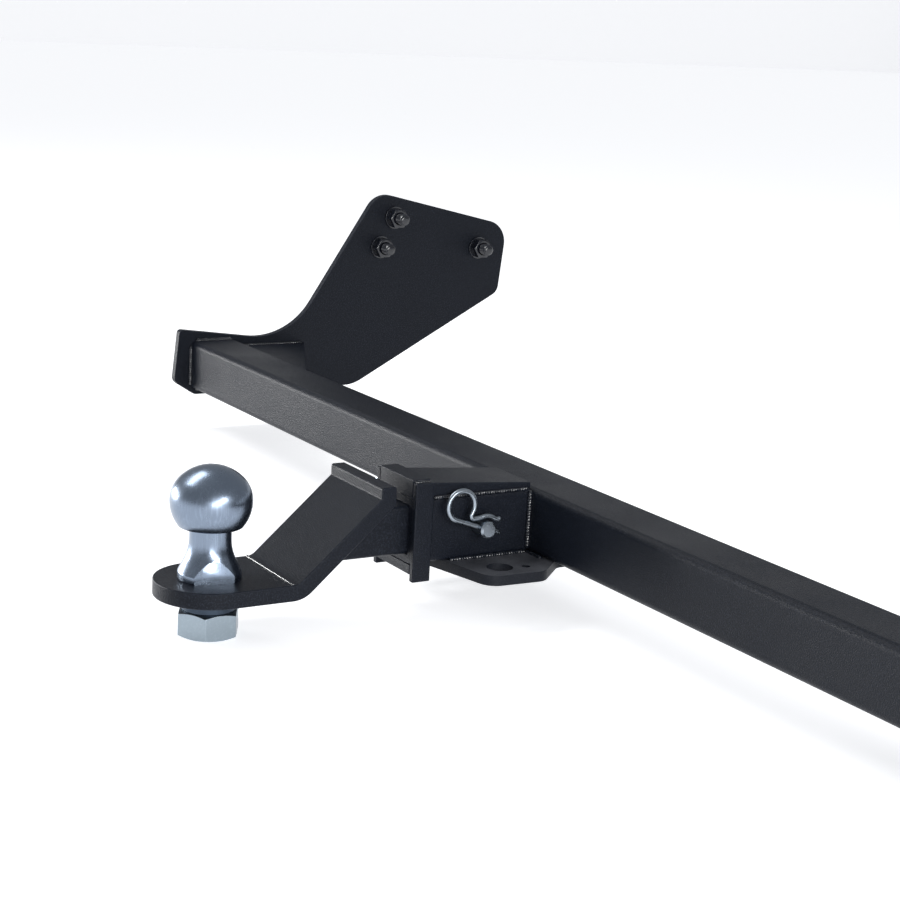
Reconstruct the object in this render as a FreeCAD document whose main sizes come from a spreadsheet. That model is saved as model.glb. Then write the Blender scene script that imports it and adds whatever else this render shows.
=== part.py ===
import FreeCAD, Part
import math
import os
import Sketcher

# Sizes in mm and degrees. Every body is drawn in the beam's frame: origin at the
# beam's middle on the receiver's centreline, +X to the vehicle's right, +Y towards
# the vehicle, +Z up. The finished part has its origin at the tow ball's centre.

SIZES = [
    ("ball_setback", 277),
    ("ball_rise", 31.5),
    ("beam_length", 1230),
    ("beam_side", 50),
    ("beam_wall", 4),
    ("beam_corner", 6),
    ("arm_thickness", 8),
    ("arm_tail_y", -38),
    ("arm_tail_z", 37),
    ("arm_waist_y", 87),
    ("arm_waist_z", 21),
    ("arm_crest_y", 187.8),
    ("arm_crest_z", 176.6),
    ("arm_nose_y", 352.9),
    ("arm_nose_z", 139.1),
    ("arm_chin_y", 345.1),
    ("arm_chin_z", 64.9),
    ("arm_throat_y", 166),
    ("arm_sole_z", -31.5),
    ("arm_heel_y", -20),
    ("arm_back_y", -43),
    ("arm_back_z", -17),
    ("arm_tail_round", 4),
    ("arm_waist_round", 75),
    ("arm_crest_round", 25),
    ("arm_chin_round", 13),
    ("arm_throat_round", 40),
    ("arm_heel_round", 8),
    ("hole_upper_y", 208.5),
    ("hole_upper_z", 149.5),
    ("hole_lower_y", 192.5),
    ("hole_lower_z", 118),
    ("hole_front_y", 316),
    ("hole_front_z", 115),
    ("bolt_radius", 6),
    ("bolt_clearance", 0.5),
    ("bolt_head_width", 19),
    ("bolt_head_height", 7.5),
    ("bolt_free_length", 12.5),
    ("arm_washer_radius", 12),
    ("arm_washer_thickness", 2.5),
    ("arm_nut_width", 19),
    ("arm_nut_height", 10),
    ("thread_clearance", 0.3),
    ("gusset_thickness", 6),
    ("gusset_top", 18),
    ("gusset_along_beam", 165),
    ("gusset_along_arm", 80),
    ("receiver_side", 50),
    ("receiver_wall", 6),
    ("receiver_length", 102),
    ("receiver_corner", 4),
    ("receiver_inner_corner", 1.5),
    ("collar_front", 128),
    ("collar_depth", 15),
    ("collar_side_thickness", 5),
    ("collar_side_reach", 37.5),
    ("collar_top_height", 14.5),
    ("collar_bottom_height", 7.5),
    ("top_plate_front_height", 11.3),
    ("top_plate_rear_height", 4.7),
    ("chain_plate_thickness", 8),
    ("chain_plate_front", 103),
    ("chain_wing_front_x", 72),
    ("chain_wing_front_y", 87),
    ("chain_wing_rear_x", 74),
    ("chain_wing_rear_y", 40),
    ("chain_root_x", 48),
    ("chain_root_y", 12),
    ("chain_plate_rear", 12),
    ("chain_wing_round", 14),
    ("chain_root_round", 10),
    ("chain_hole_x", 53),
    ("chain_hole_y", 67),
    ("chain_hole_radius", 10),
    ("small_hole_x", 58),
    ("small_hole_y", 47),
    ("small_hole_radius", 3.25),
    ("shank_clearance", 0.5),
    ("shank_corner", 3),
    ("shank_rear", 35),
    ("tongue_width", 80),
    ("tongue_thickness", 12),
    ("tongue_top", -25),
    ("tongue_bend_y", -226),
    ("tongue_slope", 41.5),
    ("tongue_front_y", -162),
    ("tongue_height", 40),
    ("tongue_bend_round", 10),
    ("tongue_upper_round", 2),
    ("ball_diameter", 58.7),
    ("ball_underside_rise", 11.05),
    ("ball_shoulder_inset", 6.5),
    ("ball_crown_drop", 3.85),
    ("neck_radius", 15),
    ("flare_top", 35.5),
    ("flare_round", 35),
    ("flange_radius", 22.75),
    ("flange_rim", 5),
    ("flat_distance", 17.5),
    ("flat_turn", -12.5),
    ("stud_radius", 13.5),
    ("stud_clearance", 0.5),
    ("stud_end", 0.8),
    ("ball_washer_radius", 19.5),
    ("ball_washer_thickness", 4),
    ("spring_washer_thickness", 6.5),
    ("spring_washer_split", 2.5),
    ("spring_washer_turn", 150),
    ("ball_nut_width", 41),
    ("ball_nut_height", 19.2),
    ("ball_nut_turn", 31),
    ("pin_y", 70),
    ("pin_radius", 6.5),
    ("pin_running_clearance", 0.1),
    ("pin_end_x", 41),
    ("pin_chamfer", 1.5),
    ("handle_x", 52),
    ("handle_round", 13),
    ("handle_length", 50),
    ("clip_x", 34),
    ("clip_lean", 18.5),
    ("clip_wire_radius", 2),
    ("clip_hole_clearance", 0.3),
    ("clip_tip_reach", 14),
    ("clip_ring_reach", 26),
    ("clip_leave_reach", 15.1),
    ("clip_leave_rise", 8.1),
    ("clip_neck_reach", 11.9),
    ("clip_neck_rise", 4.8),
    ("clip_bump_start_reach", 5.2),
    ("clip_bump_start_rise", 7.8),
    ("clip_bump_end_reach", 5),
    ("clip_bump_end_rise", 9.3),
    ("clip_free_end_reach", 10.6),
    ("clip_free_end_rise", 11),
]

FULL_TURN = 360
HEX_SIDES = 6
NEAR = 1e-3
START_RADIUS = 100.0

doc = FreeCAD.newDocument("TowBar")
sheet = doc.addObject("Spreadsheet::Sheet", "Sizes")
for row, (alias, amount) in enumerate(SIZES, 1):
    sheet.set("A%d" % row, alias)
    sheet.set("B%d" % row, str(amount))
    sheet.setAlias("B%d" % row, alias)
doc.recompute()

pieces = []


def size(alias):
    """The number in the sheet's cell of that name."""
    return float(sheet.get(alias))


def new_body(label, x="0", y="0", z="0"):
    """A body placed from the beam's frame into the part's frame."""
    body = doc.addObject("PartDesign::Body", label)
    body.Label = label
    body.setExpression("Placement.Base.x", x)
    body.setExpression("Placement.Base.y", "Sizes.ball_setback + " + y)
    body.setExpression("Placement.Base.z", "0 - Sizes.ball_rise + " + z)
    pieces.append(body)
    return body


def new_sketch(body, name, role, offset=None):
    """A sketch on one of the body's own origin planes."""
    sketch = body.newObject("Sketcher::SketchObject", name)
    for feature in body.Origin.OriginFeatures:
        if feature.Role == role:
            sketch.AttachmentSupport = [(feature, "")]
    sketch.MapMode = "FlatFace"
    if offset:
        sketch.setExpression("AttachmentOffset.Base.z", offset)
    return sketch


def bind(sketch, constraint, expression):
    """Adds a constraint and ties it to an expression."""
    index = sketch.addConstraint(constraint)
    name = "size_%d" % index
    sketch.renameConstraint(index, name)
    sketch.setExpression("Constraints." + name, expression)


def pin_point(sketch, element, end, x, y):
    """Ties one end of an element to a position."""
    point = sketch.getPoint(element, end)
    bind(sketch, Sketcher.Constraint("DistanceX", -1, 1, element, end, point.x), x)
    bind(sketch, Sketcher.Constraint("DistanceY", -1, 1, element, end, point.y), y)


def polygon(sketch, corners):
    """A closed outline whose corners are pairs of expressions."""
    first = sketch.GeometryCount
    count = len(corners)
    start = []
    for index in range(count):
        angle = 2 * math.pi * index / count
        start.append(FreeCAD.Vector(START_RADIUS * math.cos(angle), START_RADIUS * math.sin(angle), 0))
    for index in range(count):
        sketch.addGeometry(Part.LineSegment(start[index], start[(index + 1) % count]), False)
    for index in range(count):
        after = first + (index + 1) % count
        sketch.addConstraint(Sketcher.Constraint("Coincident", first + index, 2, after, 1))
    for index, (x, y) in enumerate(corners):
        pin_point(sketch, first + index, 1, x, y)


def rectangle(sketch, left, right, low, high):
    """A rectangle between four expressions."""
    polygon(sketch, [(left, low), (right, low), (right, high), (left, high)])


def circle(sketch, x, y, radius):
    """A circle with its centre and radius tied to expressions."""
    ring = Part.Circle(FreeCAD.Vector(0, 0, 0), FreeCAD.Vector(0, 0, 1), 1)
    index = sketch.addGeometry(ring, False)
    bind(sketch, Sketcher.Constraint("Radius", index, 1.0), radius)
    pin_point(sketch, index, 3, x, y)


def hexagon(sketch, x, y, width, turn="0"):
    """A hexagon of that width across its flats, turned by an angle."""
    corners = []
    for index in range(HEX_SIDES):
        angle = "(%s + %g)" % (turn, FULL_TURN / HEX_SIDES * index)
        reach = "%s / sqrt(3)" % width
        corners.append(("%s + %s * cos%s" % (x, reach, angle), "%s + %s * sin%s" % (y, reach, angle)))
    polygon(sketch, corners)


def pad(body, sketch, length, both=False, back=False):
    """Material from a sketch."""
    doc.recompute()
    feature = body.newObject("PartDesign::Pad", sketch.Name + "_pad")
    feature.Profile = sketch
    feature.setExpression("Length", length)
    if both:
        feature.SideType = "Symmetric"
    feature.Reversed = back
    sketch.Visibility = False
    doc.recompute()
    return feature


def cut_through(body, sketch):
    """Takes a sketch's area out of the body on both sides of its plane."""
    doc.recompute()
    before = body.Shape.Volume
    feature = body.newObject("PartDesign::Pocket", sketch.Name + "_pocket")
    feature.Profile = sketch
    feature.Type = "ThroughAll"
    feature.SideType = "Symmetric"
    doc.recompute()
    if body.Shape.Volume >= before:
        raise RuntimeError("nothing is cut by " + sketch.Name)
    return feature


def corner_edges(feature, sketch, corners):
    """Names of the straight edges that stand on those corners of the sketch."""
    spot = sketch.Placement
    normal = spot.Rotation.multVec(FreeCAD.Vector(0, 0, 1))
    names = []
    for corner in corners:
        point = spot.multVec(sketch.Geometry[corner].StartPoint)
        for index, edge in enumerate(feature.Shape.Edges, 1):
            offsets = [(vertex.Point - point).cross(normal).Length for vertex in edge.Vertexes]
            if len(offsets) == 2 and max(offsets) < NEAR:
                names.append("Edge%d" % index)
    return names


def round_edges(body, feature, names, radius):
    """Rounds named edges."""
    if not names:
        raise RuntimeError("no edge found to round on " + body.Label)
    fillet = body.newObject("PartDesign::Fillet", "round_%d_%s" % (len(body.Group), body.Label))
    fillet.Base = (feature, names)
    fillet.setExpression("Radius", radius)
    doc.recompute()
    return fillet


def circle_edges(feature, axis, level, radius):
    """Names of the full circles of that radius whose centre lies at a level along an axis."""
    names = []
    for index, edge in enumerate(feature.Shape.Edges, 1):
        if not isinstance(edge.Curve, Part.Circle):
            continue
        centre = (edge.Curve.Center.x, edge.Curve.Center.y, edge.Curve.Center.z)
        if abs(centre[axis] - level) < NEAR and abs(edge.Curve.Radius - radius) < NEAR:
            names.append("Edge%d" % index)
    return names


HALF_BEAM = "Sizes.beam_side / 2"
HALF_RECEIVER = "Sizes.receiver_side / 2"
HOLES = [
    ("Sizes.hole_upper_y", "Sizes.hole_upper_z"),
    ("Sizes.hole_lower_y", "Sizes.hole_lower_z"),
    ("Sizes.hole_front_y", "Sizes.hole_front_z"),
]


def square_tube(body, name, role, half, wall, length, corner, inner_corner, both=False):
    """A square tube with rounded corners."""
    sketch = new_sketch(body, name, role)
    inner = "(%s - %s)" % (half, wall)
    rectangle(sketch, "0 - " + half, half, "0 - " + half, half)
    rectangle(sketch, "0 - " + inner, inner, "0 - " + inner, inner)
    tube = pad(body, sketch, length, both)
    outer = round_edges(body, tube, corner_edges(tube, sketch, range(4)), corner)
    round_edges(body, outer, corner_edges(outer, sketch, range(4, 8)), inner_corner)


beam = new_body("cross_beam")
square_tube(
    beam, "beam_section", "YZ_Plane", HALF_BEAM, "Sizes.beam_wall", "Sizes.beam_length",
    "Sizes.beam_corner", "Sizes.beam_corner - Sizes.beam_wall", True,
)

receiver = new_body("receiver_tube", y="0 - " + HALF_BEAM)
square_tube(
    receiver, "receiver_section", "XZ_Plane", HALF_RECEIVER, "Sizes.receiver_wall",
    "Sizes.receiver_length", "Sizes.receiver_corner", "Sizes.receiver_inner_corner",
)
receiver_bore = new_sketch(receiver, "receiver_bore", "YZ_Plane")
circle(
    receiver_bore, "0 - Sizes.pin_y + " + HALF_BEAM, "0",
    "Sizes.pin_radius + Sizes.pin_running_clearance",
)
cut_through(receiver, receiver_bore)


def build_side(side, sign):
    """The arm plate, its gusset and its fasteners at one end of the beam."""
    signed = "%d * " % sign
    to_middle_is_back = sign > 0
    outer = signed + "(Sizes.beam_length / 2 + Sizes.arm_thickness)"
    inner = signed + "(Sizes.beam_length / 2)"
    on_washer = signed + "(Sizes.beam_length / 2 - Sizes.arm_washer_thickness)"

    arm = new_body("arm_plate_" + side, x=outer)
    outline = new_sketch(arm, "arm_outline_" + side, "YZ_Plane")
    polygon(outline, [
        ("Sizes.arm_tail_y", "Sizes.arm_tail_z"),
        ("Sizes.arm_waist_y", "Sizes.arm_waist_z"),
        ("Sizes.arm_crest_y", "Sizes.arm_crest_z"),
        ("Sizes.arm_nose_y", "Sizes.arm_nose_z"),
        ("Sizes.arm_chin_y", "Sizes.arm_chin_z"),
        ("Sizes.arm_throat_y", "Sizes.arm_sole_z"),
        ("Sizes.arm_heel_y", "Sizes.arm_sole_z"),
        ("Sizes.arm_back_y", "Sizes.arm_back_z"),
    ])
    for y, z in HOLES:
        circle(outline, y, z, "Sizes.bolt_radius + Sizes.bolt_clearance")
    plate = pad(arm, outline, "Sizes.arm_thickness", back=to_middle_is_back)
    rounds = [
        ((0,), "Sizes.arm_tail_round"),
        ((1,), "Sizes.arm_waist_round"),
        ((2, 3), "Sizes.arm_crest_round"),
        ((4,), "Sizes.arm_chin_round"),
        ((5,), "Sizes.arm_throat_round"),
        ((6, 7), "Sizes.arm_heel_round"),
    ]
    for corners, radius in rounds:
        plate = round_edges(arm, plate, corner_edges(plate, outline, corners), radius)

    gusset = new_body("gusset_" + side, z="Sizes.gusset_top - Sizes.gusset_thickness")
    triangle = new_sketch(gusset, "gusset_outline_" + side, "XY_Plane")
    polygon(triangle, [
        (inner, HALF_BEAM),
        (inner, HALF_BEAM + " + Sizes.gusset_along_arm"),
        (signed + "(Sizes.beam_length / 2 - Sizes.gusset_along_beam)", HALF_BEAM),
    ])
    pad(gusset, triangle, "Sizes.gusset_thickness")

    bolts = new_body("arm_bolts_" + side, x=outer)
    bolts.AllowCompound = True
    heads = new_sketch(bolts, "bolt_heads_" + side, "YZ_Plane")
    for y, z in HOLES:
        hexagon(heads, y, z, "Sizes.bolt_head_width")
    pad(bolts, heads, "Sizes.bolt_head_height", back=not to_middle_is_back)
    shanks = new_sketch(bolts, "bolt_shanks_" + side, "YZ_Plane")
    for y, z in HOLES:
        circle(shanks, y, z, "Sizes.bolt_radius")
    reach = "Sizes.arm_thickness + Sizes.arm_washer_thickness + Sizes.arm_nut_height"
    pad(bolts, shanks, reach + " + Sizes.bolt_free_length", back=to_middle_is_back)

    washers = new_body("arm_washers_" + side, x=inner)
    washers.AllowCompound = True
    rings = new_sketch(washers, "washer_rings_" + side, "YZ_Plane")
    for y, z in HOLES:
        circle(rings, y, z, "Sizes.arm_washer_radius")
        circle(rings, y, z, "Sizes.bolt_radius + Sizes.bolt_clearance")
    pad(washers, rings, "Sizes.arm_washer_thickness", back=to_middle_is_back)

    nuts = new_body("arm_nuts_" + side, x=on_washer)
    nuts.AllowCompound = True
    hexagons = new_sketch(nuts, "nut_outlines_" + side, "YZ_Plane")
    for y, z in HOLES:
        hexagon(hexagons, y, z, "Sizes.arm_nut_width")
        circle(hexagons, y, z, "Sizes.bolt_radius + Sizes.thread_clearance")
    pad(nuts, hexagons, "Sizes.arm_nut_height", back=to_middle_is_back)


for side, sign in (("left", -1), ("right", 1)):
    build_side(side, sign)


# The four bars round the receiver's mouth
def collar_bar(label, left, right, low, high):
    """One bar of the collar, drawn in the plane of the mouth."""
    body = new_body(label, y="Sizes.collar_depth - Sizes.collar_front")
    sketch = new_sketch(body, label + "_section", "XZ_Plane")
    rectangle(sketch, left, right, low, high)
    pad(body, sketch, "Sizes.collar_depth")


COLLAR_OUTSIDE = "(%s + Sizes.collar_side_thickness)" % HALF_RECEIVER
collar_bar(
    "collar_top_bar", "0 - " + HALF_RECEIVER, HALF_RECEIVER, HALF_RECEIVER,
    HALF_RECEIVER + " + Sizes.collar_top_height",
)
collar_bar(
    "collar_bottom_bar", "0 - " + HALF_RECEIVER, HALF_RECEIVER,
    "0 - " + HALF_RECEIVER + " - Sizes.collar_bottom_height", "0 - " + HALF_RECEIVER,
)
collar_bar(
    "collar_side_bar_left", "0 - " + COLLAR_OUTSIDE, "0 - " + HALF_RECEIVER,
    "0 - Sizes.collar_side_reach", "Sizes.collar_side_reach",
)
collar_bar(
    "collar_side_bar_right", HALF_RECEIVER, COLLAR_OUTSIDE,
    "0 - Sizes.collar_side_reach", "Sizes.collar_side_reach",
)

# The plate on the receiver, which slopes down from the collar to the beam
top_plate = new_body("top_plate")
top_section = new_sketch(top_plate, "top_plate_section", "YZ_Plane")
COLLAR_REAR = "Sizes.collar_depth - Sizes.collar_front"
polygon(top_section, [
    (COLLAR_REAR, HALF_RECEIVER),
    ("0 - " + HALF_BEAM, HALF_RECEIVER),
    ("0 - " + HALF_BEAM, HALF_RECEIVER + " + Sizes.top_plate_rear_height"),
    (COLLAR_REAR, HALF_RECEIVER + " + Sizes.top_plate_front_height"),
])
pad(top_plate, top_section, "Sizes.receiver_side", True)

# The safety chain plate under the receiver and the beam
chain_plate = new_body("chain_plate", z="0 - %s - Sizes.chain_plate_thickness" % HALF_RECEIVER)
chain_outline = new_sketch(chain_plate, "chain_plate_outline", "XY_Plane")
chain_half = [
    ("Sizes.chain_wing_front_x", "0 - Sizes.chain_wing_front_y"),
    ("Sizes.chain_wing_rear_x", "0 - Sizes.chain_wing_rear_y"),
    ("Sizes.chain_root_x", "0 - Sizes.chain_root_y"),
    ("Sizes.chain_root_x", "Sizes.chain_plate_rear"),
]
chain_corners = [("0", "0 - Sizes.chain_plate_front")] + chain_half
chain_corners += [("0 - " + x, y) for x, y in reversed(chain_half)]
polygon(chain_outline, chain_corners)
for chain_side in ("", "0 - "):
    circle(
        chain_outline, chain_side + "Sizes.chain_hole_x", "0 - Sizes.chain_hole_y",
        "Sizes.chain_hole_radius",
    )
    circle(
        chain_outline, chain_side + "Sizes.small_hole_x", "0 - Sizes.small_hole_y",
        "Sizes.small_hole_radius",
    )
chain_pad = pad(chain_plate, chain_outline, "Sizes.chain_plate_thickness")
chain_wings = corner_edges(chain_pad, chain_outline, (1, 2, 7, 8))
chain_pad = round_edges(chain_plate, chain_pad, chain_wings, "Sizes.chain_wing_round")
chain_roots = corner_edges(chain_pad, chain_outline, (3, 6))
round_edges(chain_plate, chain_pad, chain_roots, "Sizes.chain_root_round")

# The bent tongue: platform, slope and short upright end
tongue = new_body("tongue_plate")
tongue_section = new_sketch(tongue, "tongue_section", "YZ_Plane")
TONGUE_BOTTOM = "Sizes.tongue_top - Sizes.tongue_thickness"
UPRIGHT_REAR = "(Sizes.tongue_front_y + Sizes.tongue_thickness)"
SLOPE_FOOT = "(Sizes.tongue_top - Sizes.tongue_thickness / cos(Sizes.tongue_slope))"


def under_slope(y):
    """Height of the slope's underside at a position along the bar."""
    return "%s + (%s - Sizes.tongue_bend_y) * tan(Sizes.tongue_slope)" % (SLOPE_FOOT, y)


def under_slope_at(z):
    """Position along the bar where the slope's underside has that height."""
    return "Sizes.tongue_bend_y + (%s - %s) / tan(Sizes.tongue_slope)" % (z, SLOPE_FOOT)


polygon(tongue_section, [
    ("0 - Sizes.ball_setback", "Sizes.tongue_top"),
    ("Sizes.tongue_bend_y", "Sizes.tongue_top"),
    (
        "Sizes.tongue_front_y",
        "Sizes.tongue_top + (Sizes.tongue_front_y - Sizes.tongue_bend_y) * tan(Sizes.tongue_slope)",
    ),
    ("Sizes.tongue_front_y", "Sizes.tongue_height"),
    (UPRIGHT_REAR, "Sizes.tongue_height"),
    (UPRIGHT_REAR, under_slope(UPRIGHT_REAR)),
    (
        "Sizes.tongue_bend_y + Sizes.tongue_thickness * tan(Sizes.tongue_slope / 2)",
        TONGUE_BOTTOM,
    ),
    ("0 - Sizes.ball_setback", TONGUE_BOTTOM),
])
tongue_pad = pad(tongue, tongue_section, "Sizes.tongue_width", True)
inner_bend = corner_edges(tongue_pad, tongue_section, (1,))
tongue_pad = round_edges(tongue, tongue_pad, inner_bend, "Sizes.tongue_bend_round")
outer_bend = corner_edges(tongue_pad, tongue_section, (6,))
tongue_pad = round_edges(
    tongue, tongue_pad, outer_bend, "Sizes.tongue_bend_round + Sizes.tongue_thickness"
)
upright = corner_edges(tongue_pad, tongue_section, (3, 4))
round_edges(tongue, tongue_pad, upright, "Sizes.tongue_upper_round")
round_end = new_sketch(tongue, "tongue_round_end", "XY_Plane", TONGUE_BOTTOM)
circle(round_end, "0", "0 - Sizes.ball_setback", "Sizes.tongue_width / 2")
pad(tongue, round_end, "Sizes.tongue_thickness")
stud_hole = new_sketch(tongue, "tongue_stud_hole", "XY_Plane")
circle(stud_hole, "0", "0 - Sizes.ball_setback", "Sizes.stud_radius + Sizes.stud_clearance")
cut_through(tongue, stud_hole)

# The square bar in the receiver, cut to the tongue's underside
shank = new_body("shank_bar")
shank_section = new_sketch(shank, "shank_side", "YZ_Plane")
HALF_SHANK = "(%s - Sizes.receiver_wall - Sizes.shank_clearance)" % HALF_RECEIVER
polygon(shank_section, [
    ("0 - Sizes.shank_rear", "0 - " + HALF_SHANK),
    ("0 - Sizes.shank_rear", HALF_SHANK),
    (under_slope_at(HALF_SHANK), HALF_SHANK),
    (under_slope_at("0 - " + HALF_SHANK), "0 - " + HALF_SHANK),
])
shank_pad = pad(shank, shank_section, "2 * " + HALF_SHANK, True)


def long_edges(feature, axis):
    """Names of the straight edges that run along an axis."""
    names = []
    for index, edge in enumerate(feature.Shape.Edges, 1):
        start, end = edge.Vertexes[0].Point, edge.Vertexes[-1].Point
        along = end - start
        if along.Length > NEAR and along.cross(axis).Length < NEAR:
            names.append("Edge%d" % index)
    return names


shank_long = long_edges(shank_pad, FreeCAD.Vector(0, 1, 0))
round_edges(shank, shank_pad, shank_long, "Sizes.shank_corner")
shank_bore = new_sketch(shank, "shank_bore", "YZ_Plane")
circle(shank_bore, "0 - Sizes.pin_y", "0", "Sizes.pin_radius + Sizes.pin_running_clearance")
cut_through(shank, shank_bore)

# The tow ball, turned in one piece, with two wrench flats on its flange
ball = new_body("tow_ball", y="0 - Sizes.ball_setback", z="Sizes.ball_rise")
stem = new_sketch(ball, "ball_stem", "XZ_Plane")
FLANGE_SEAT = "(Sizes.tongue_top - Sizes.ball_rise)"
STACK = "Sizes.tongue_thickness + Sizes.ball_washer_thickness + Sizes.spring_washer_thickness"
NUT_SEAT = "(Sizes.tongue_top - %s)" % STACK.replace(" + ", " - ")
STUD_LOW = "%s - Sizes.ball_nut_height - Sizes.ball_rise + Sizes.stud_end" % NUT_SEAT
polygon(stem, [
    ("0", "0"),
    ("Sizes.neck_radius", "0"),
    ("Sizes.neck_radius", "0 - Sizes.flare_top"),
    ("Sizes.flange_radius", FLANGE_SEAT + " + Sizes.flange_rim"),
    ("Sizes.flange_radius", FLANGE_SEAT),
    ("Sizes.stud_radius", FLANGE_SEAT),
    ("Sizes.stud_radius", STUD_LOW),
    ("0", STUD_LOW),
])


def revolve(body, sketch):
    """A full turn of a sketch about its upright axis."""
    doc.recompute()
    feature = body.newObject("PartDesign::Revolution", sketch.Name + "_turned")
    feature.Profile = sketch
    feature.ReferenceAxis = (sketch, ["V_Axis"])
    feature.Angle = FULL_TURN
    doc.recompute()
    return feature


turned = revolve(ball, stem)
flare = circle_edges(turned, 2, 0 - size("flare_top"), size("neck_radius"))
round_edges(ball, turned, flare, "Sizes.flare_round")
half_disc = new_sketch(ball, "ball_half_disc", "XZ_Plane")
ball_radius = size("ball_diameter") / 2
underside = ball_radius - size("ball_underside_rise")
shoulder_x = size("ball_shoulder_inset")
shoulder = ball_radius - shoulder_x
crown = ball_radius - size("ball_crown_drop")
crown_drop = (shoulder_x ** 2 - (crown - shoulder) ** 2) / (2 * (crown - shoulder))
crown_start = math.atan2(crown_drop, shoulder_x)
UPRIGHT = FreeCAD.Vector(0, 0, 1)
globe_circle = Part.Circle(FreeCAD.Vector(0, 0, 0), UPRIGHT, ball_radius)
shoulder_circle = Part.Circle(FreeCAD.Vector(shoulder_x, 0, 0), UPRIGHT, shoulder)
crown_circle = Part.Circle(FreeCAD.Vector(0, -crown_drop, 0), UPRIGHT, crown + crown_drop)
ball_top = FreeCAD.Vector(0, crown, 0)
ball_foot = FreeCAD.Vector(0, -underside, 0)
ball_rim = FreeCAD.Vector(math.sqrt(ball_radius ** 2 - underside ** 2), -underside, 0)
globe_arc = Part.ArcOfCircle(globe_circle, -math.asin(underside / ball_radius), 0)
globe_index = half_disc.addGeometry(globe_arc, False)
shoulder_arc = Part.ArcOfCircle(shoulder_circle, 0, crown_start)
shoulder_index = half_disc.addGeometry(shoulder_arc, False)
crown_arc = Part.ArcOfCircle(crown_circle, crown_start, math.pi / 2)
crown_index = half_disc.addGeometry(crown_arc, False)
axis_index = half_disc.addGeometry(Part.LineSegment(ball_top, ball_foot), False)
foot_index = half_disc.addGeometry(Part.LineSegment(ball_foot, ball_rim), False)
half_disc.addConstraint(Sketcher.Constraint("Coincident", globe_index, 3, -1, 1))
half_disc.addConstraint(Sketcher.Constraint("PointOnObject", globe_index, 2, -1))
half_disc.addConstraint(Sketcher.Constraint("Tangent", globe_index, 2, shoulder_index, 1))
half_disc.addConstraint(Sketcher.Constraint("Tangent", shoulder_index, 2, crown_index, 1))
half_disc.addConstraint(Sketcher.Constraint("PointOnObject", crown_index, 3, -2))
half_disc.addConstraint(Sketcher.Constraint("PointOnObject", crown_index, 2, -2))
half_disc.addConstraint(Sketcher.Constraint("Coincident", crown_index, 2, axis_index, 1))
half_disc.addConstraint(Sketcher.Constraint("PointOnObject", axis_index, 2, -2))
half_disc.addConstraint(Sketcher.Constraint("Coincident", axis_index, 2, foot_index, 1))
half_disc.addConstraint(Sketcher.Constraint("Horizontal", foot_index))
half_disc.addConstraint(Sketcher.Constraint("Coincident", foot_index, 2, globe_index, 1))
bind(
    half_disc, Sketcher.Constraint("Radius", globe_index, ball_radius), "Sizes.ball_diameter / 2"
)
bind(
    half_disc, Sketcher.Constraint("Radius", shoulder_index, shoulder),
    "Sizes.ball_diameter / 2 - Sizes.ball_shoulder_inset",
)
bind(
    half_disc, Sketcher.Constraint("DistanceY", -1, 1, crown_index, 2, crown),
    "Sizes.ball_diameter / 2 - Sizes.ball_crown_drop",
)
bind(
    half_disc, Sketcher.Constraint("DistanceY", -1, 1, foot_index, 1, -underside),
    "Sizes.ball_underside_rise - Sizes.ball_diameter / 2",
)
revolve(ball, half_disc)
flats = new_sketch(ball, "wrench_flats", "XY_Plane", FLANGE_SEAT)


def turned_point(x, y, turn):
    """A point turned about the sketch's origin."""
    return (
        "(%s) * cos(%s) - (%s) * sin(%s)" % (x, turn, y, turn),
        "(%s) * sin(%s) + (%s) * cos(%s)" % (x, turn, y, turn),
    )


for flat_side in ("", "0 - "):
    polygon(flats, [
        turned_point(flat_side + x, y, "Sizes.flat_turn")
        for x, y in (
            ("Sizes.flat_distance", "0 - Sizes.flange_radius"),
            ("2 * Sizes.flange_radius", "0 - Sizes.flange_radius"),
            ("2 * Sizes.flange_radius", "Sizes.flange_radius"),
            ("Sizes.flat_distance", "Sizes.flange_radius"),
        )
    ])
doc.recompute()
before_flats = ball.Shape.Volume
flat_cut = ball.newObject("PartDesign::Pocket", "wrench_flats_pocket")
flat_cut.Profile = flats
flat_cut.Reversed = True
flat_cut.setExpression("Length", "0 - %s - Sizes.flare_top" % FLANGE_SEAT)
doc.recompute()
if ball.Shape.Volume >= before_flats:
    raise RuntimeError("the wrench flats are not cut")


# Washers and nut below the tongue
def ring_body(label, seat, outer, inner, height):
    """A flat ring whose upper face lies at the seat."""
    body = new_body(label, y="0 - Sizes.ball_setback", z="%s - %s" % (seat, height))
    sketch = new_sketch(body, label + "_ring", "XY_Plane")
    circle(sketch, "0", "0", outer)
    circle(sketch, "0", "0", inner)
    return body, sketch


STUD_BORE = "Sizes.stud_radius + Sizes.stud_clearance"
washer, washer_ring = ring_body(
    "ball_washer", TONGUE_BOTTOM, "Sizes.ball_washer_radius", STUD_BORE,
    "Sizes.ball_washer_thickness",
)
pad(washer, washer_ring, "Sizes.ball_washer_thickness")
spring, spring_ring = ring_body(
    "spring_washer", TONGUE_BOTTOM + " - Sizes.ball_washer_thickness",
    "Sizes.ball_washer_radius", STUD_BORE, "Sizes.spring_washer_thickness",
)
pad(spring, spring_ring, "Sizes.spring_washer_thickness")
split = new_sketch(spring, "spring_washer_split", "XY_Plane")
polygon(split, [
    turned_point(x, y, "Sizes.spring_washer_turn")
    for x, y in (
        ("Sizes.stud_radius / 2", "0 - Sizes.spring_washer_split / 2"),
        ("2 * Sizes.ball_washer_radius", "0 - Sizes.spring_washer_split / 2"),
        ("2 * Sizes.ball_washer_radius", "Sizes.spring_washer_split / 2"),
        ("Sizes.stud_radius / 2", "Sizes.spring_washer_split / 2"),
    )
])
cut_through(spring, split)
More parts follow.
